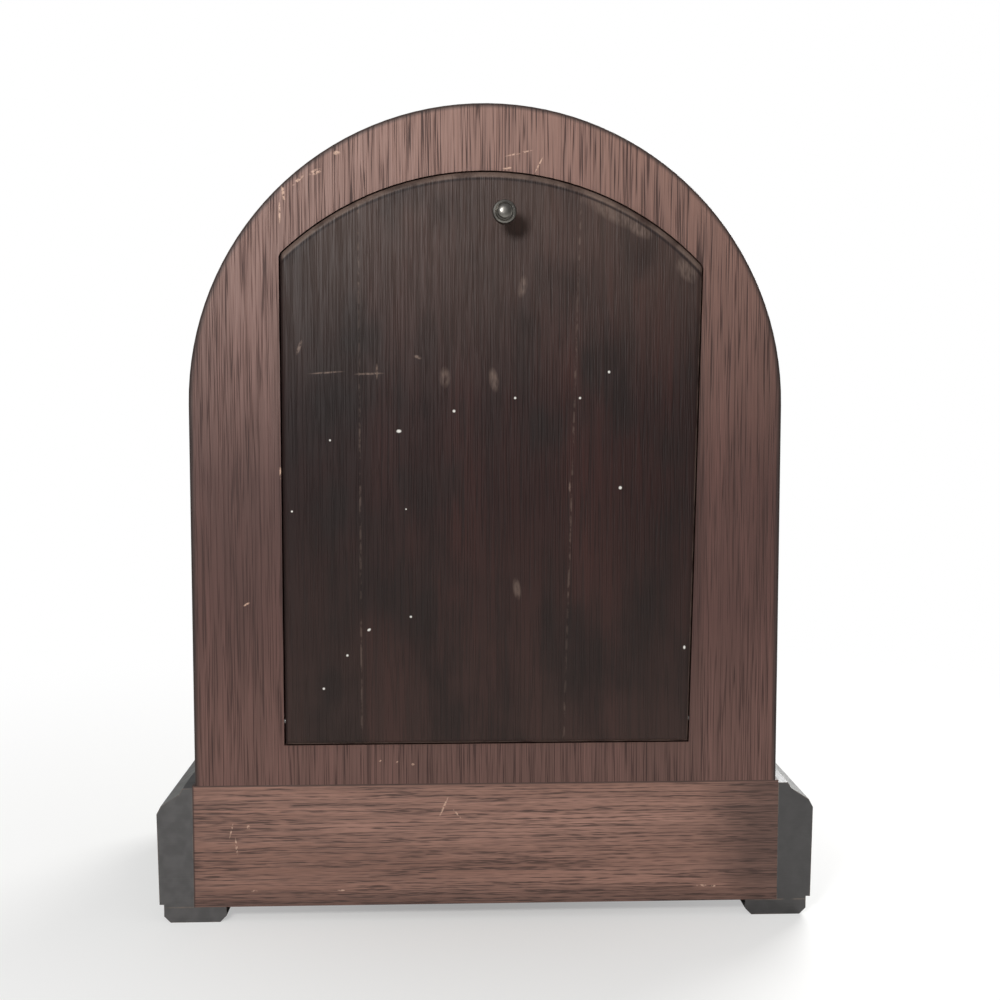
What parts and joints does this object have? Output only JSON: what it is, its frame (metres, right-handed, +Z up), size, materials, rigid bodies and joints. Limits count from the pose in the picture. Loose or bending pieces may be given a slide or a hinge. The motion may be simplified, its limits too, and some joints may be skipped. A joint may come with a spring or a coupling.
{
  "type": "beehive shelf clock",
  "caption": "Round-arched wooden shelf clock on a black moulded plinth, with a hinged back door and turn knob, a hinged glazed bezel, and a pendulum movement that strikes on a coil gong.",
  "frame": {"origin": "centre of the clock's footprint, on the plane that it stands on", "axes": "+Z up, -Y out of the dial, +Y out of the back door, +X to the right as seen from the dial"},
  "size_m": [0.2692, 0.1536, 0.33],
  "materials": {
    "veneer": "waxed reddish-brown walnut veneer",
    "door_wood": "dark stained satin",
    "inner_wood": "bare softwood",
    "ebonised_wood": "gloss black",
    "aged_bronze": "dark patina",
    "steel": "bright",
    "dial_paint": "cream enamel",
    "blued_steel": "blued",
    "brass": "lacquered",
    "glass": "clear",
    "cast_iron": "black painted"
  },
  "bodies": {
    "case": {"front_panel": "veneer", "case_shell": "veneer", "back_panel": "veneer", "base_board": "inner_wood", "back_rail": "veneer", "front_plinth": "ebonised_wood", "left_plinth": "ebonised_wood", "right_plinth": "ebonised_wood", "feet": "ebonised_wood", "glue_blocks": "inner_wood", "door_stop": "inner_wood", "door_pivot_pins": "steel", "dial": "dial_paint", "dial_pins": "brass", "bezel_hinge": "brass", "bezel_hinge_pin": "steel", "front_plate": "brass", "back_plate": "brass", "plate_pillars": "brass", "fixing_posts": "brass", "movement_fasteners": "steel", "suspension_cock": "brass", "gong_coil": "blued_steel", "gong_stand": "cast_iron"},
    "back_door": {"back_door": "door_wood"},
    "turn_latch": {"door_knob": "aged_bronze", "door_latch": "steel", "latch_nut": "steel"},
    "bezel": {"bezel_ring": "brass", "bezel_glass": "glass", "glass_retainer": "brass"},
    "minute_arbor": {"center_wheel": "brass", "cannon_pinion": "brass", "minute_hand": "blued_steel", "hand_nut": "brass"},
    "hour_arbor": {"hour_wheel": "brass", "hour_hand": "blued_steel"},
    "minute_wheel_body": {"minute_wheel": "brass"},
    "second_arbor": {"second_wheel": "brass"},
    "third_arbor": {"third_wheel": "brass"},
    "escape_arbor": {"escape_wheel": "brass"},
    "time_barrel_body": {"time_barrel": "brass", "time_mainspring": "steel"},
    "time_winding": {"time_winding_arbor": "steel"},
    "time_click_body": {"time_click": "steel"},
    "anchor": {"pallet_anchor": "steel"},
    "pendulum": {"suspension_spring": "steel", "pendulum_rod": "steel", "pendulum_bob": "brass", "rating_nut": "brass"},
    "strike_barrel_body": {"strike_barrel": "brass", "strike_mainspring": "steel"},
    "strike_winding": {"strike_winding_arbor": "steel"},
    "strike_click_body": {"strike_click": "steel"},
    "pin_wheel_body": {"pin_wheel": "brass"},
    "locking_arbor": {"locking_wheel": "brass"},
    "fly_arbor": {"strike_fly": "brass"},
    "count_wheel_body": {"count_wheel": "brass"},
    "count_lever_body": {"count_lever": "steel"},
    "hammer_body": {"hammer": "steel"}
  },
  "joints": [
    {"name": "back_door_tilt", "type": "hinge", "parent": "case", "child": "back_door", "pos_m": [0, 0.0548, 0.0827], "axis": [-1, 0, 0], "range_deg": [0, 95]},
    {"name": "latch_turn", "type": "hinge", "parent": "back_door", "child": "turn_latch", "pos_m": [-0.0062, 0.0588, 0.285], "axis": [0, -1, 0], "range_deg": [0, 90]},
    {"name": "bezel_swing", "type": "hinge", "parent": "case", "child": "bezel", "pos_m": [0.0886, -0.0643, 0.211], "axis": [0, 0, 1], "range_deg": [0, 105]},
    {"name": "minute_hand_turn", "type": "hinge", "parent": "case", "child": "minute_arbor", "pos_m": [0, -0.0202, 0.211], "axis": [0, 1, 0], "continuous": true},
    {"name": "hour_hand_turn", "type": "hinge", "parent": "case", "child": "hour_arbor", "pos_m": [0, -0.049, 0.211], "axis": [0, 1, 0], "continuous": true},
    {"name": "minute_wheel_turn", "type": "hinge", "parent": "case", "child": "minute_wheel_body", "pos_m": [0, -0.045, 0.1966], "axis": [0, 1, 0], "continuous": true},
    {"name": "second_wheel_turn", "type": "hinge", "parent": "case", "child": "second_arbor", "pos_m": [0.0198, -0.0202, 0.20819], "axis": [0, 1, 0], "continuous": true},
    {"name": "third_wheel_turn", "type": "hinge", "parent": "case", "child": "third_arbor", "pos_m": [0.00955, -0.0202, 0.22755], "axis": [0, 1, 0], "continuous": true},
    {"name": "escape_wheel_turn", "type": "hinge", "parent": "case", "child": "escape_arbor", "pos_m": [0, -0.0202, 0.24238], "axis": [0, 1, 0], "continuous": true},
    {"name": "time_barrel_turn", "type": "hinge", "parent": "case", "child": "time_barrel_body", "pos_m": [0.031, -0.0202, 0.184], "axis": [0, 1, 0], "continuous": true},
    {"name": "time_winding_turn", "type": "hinge", "parent": "case", "child": "time_winding", "pos_m": [0.031, -0.0622, 0.184], "axis": [0, 1, 0], "continuous": true},
    {"name": "time_click_lift", "type": "hinge", "parent": "case", "child": "time_click_body", "pos_m": [0.03613, -0.0422, 0.19809], "axis": [0, -1, 0], "range_deg": [0, 12]},
    {"name": "pendulum_swing", "type": "hinge", "parent": "case", "child": "pendulum", "pos_m": [0, 0.0148, 0.26076], "axis": [0, 1, 0], "range_deg": [-4, 4]},
    {"name": "anchor_rock", "type": "hinge", "parent": "case", "child": "anchor", "pos_m": [0, -0.0202, 0.26076], "axis": [0, 1, 0], "range_deg": [-4, 4]},
    {"name": "pin_wheel_turn", "type": "hinge", "parent": "case", "child": "pin_wheel_body", "pos_m": [-0.02637, -0.0202, 0.21025], "axis": [0, 1, 0], "continuous": true},
    {"name": "strike_barrel_turn", "type": "hinge", "parent": "case", "child": "strike_barrel_body", "pos_m": [-0.031, -0.0202, 0.184], "axis": [0, 1, 0], "continuous": true},
    {"name": "strike_winding_turn", "type": "hinge", "parent": "case", "child": "strike_winding", "pos_m": [-0.031, -0.0622, 0.184], "axis": [0, 1, 0], "continuous": true},
    {"name": "strike_click_lift", "type": "hinge", "parent": "case", "child": "strike_click_body", "pos_m": [-0.02587, -0.0422, 0.19809], "axis": [0, -1, 0], "range_deg": [0, 12]},
    {"name": "locking_wheel_turn", "type": "hinge", "parent": "case", "child": "locking_arbor", "pos_m": [-0.02119, -0.0202, 0.22957], "axis": [0, 1, 0], "continuous": true},
    {"name": "fly_turn", "type": "hinge", "parent": "case", "child": "fly_arbor", "pos_m": [-0.02865, -0.0202, 0.24249], "axis": [0, 1, 0], "continuous": true},
    {"name": "count_wheel_turn", "type": "hinge", "parent": "case", "child": "count_wheel_body", "pos_m": [-0.03372, 0.004, 0.23046], "axis": [0, 1, 0], "continuous": true},
    {"name": "count_lever_lift", "type": "hinge", "parent": "case", "child": "count_lever_body", "pos_m": [-0.01272, 0.004, 0.25046], "axis": [0, 1, 0], "range_deg": [0, 12]},
    {"name": "hammer_lift", "type": "hinge", "parent": "case", "child": "hammer_body", "pos_m": [-0.002, -0.0202, 0.165], "axis": [0, 1, 0], "range_deg": [0, 18]}
  ],
  "couplings": [
    {"joint": "third_wheel_turn", "follows": "minute_hand_turn", "ratio": -12},
    {"joint": "hour_hand_turn", "follows": "minute_hand_turn", "ratio": 0.083333},
    {"joint": "minute_wheel_turn", "follows": "minute_hand_turn", "ratio": -0.33333},
    {"joint": "second_wheel_turn", "follows": "minute_hand_turn", "ratio": -0.14286},
    {"joint": "time_barrel_turn", "follows": "minute_hand_turn", "ratio": 0.018797},
    {"joint": "escape_wheel_turn", "follows": "minute_hand_turn", "ratio": 132},
    {"joint": "anchor_rock", "follows": "pendulum_swing", "ratio": 1},
    {"joint": "locking_wheel_turn", "follows": "pin_wheel_turn", "ratio": -9},
    {"joint": "strike_barrel_turn", "follows": "pin_wheel_turn", "ratio": -0.13158},
    {"joint": "fly_turn", "follows": "pin_wheel_turn", "ratio": 82.286},
    {"joint": "count_wheel_turn", "follows": "pin_wheel_turn", "ratio": -0.10256}
  ]
}
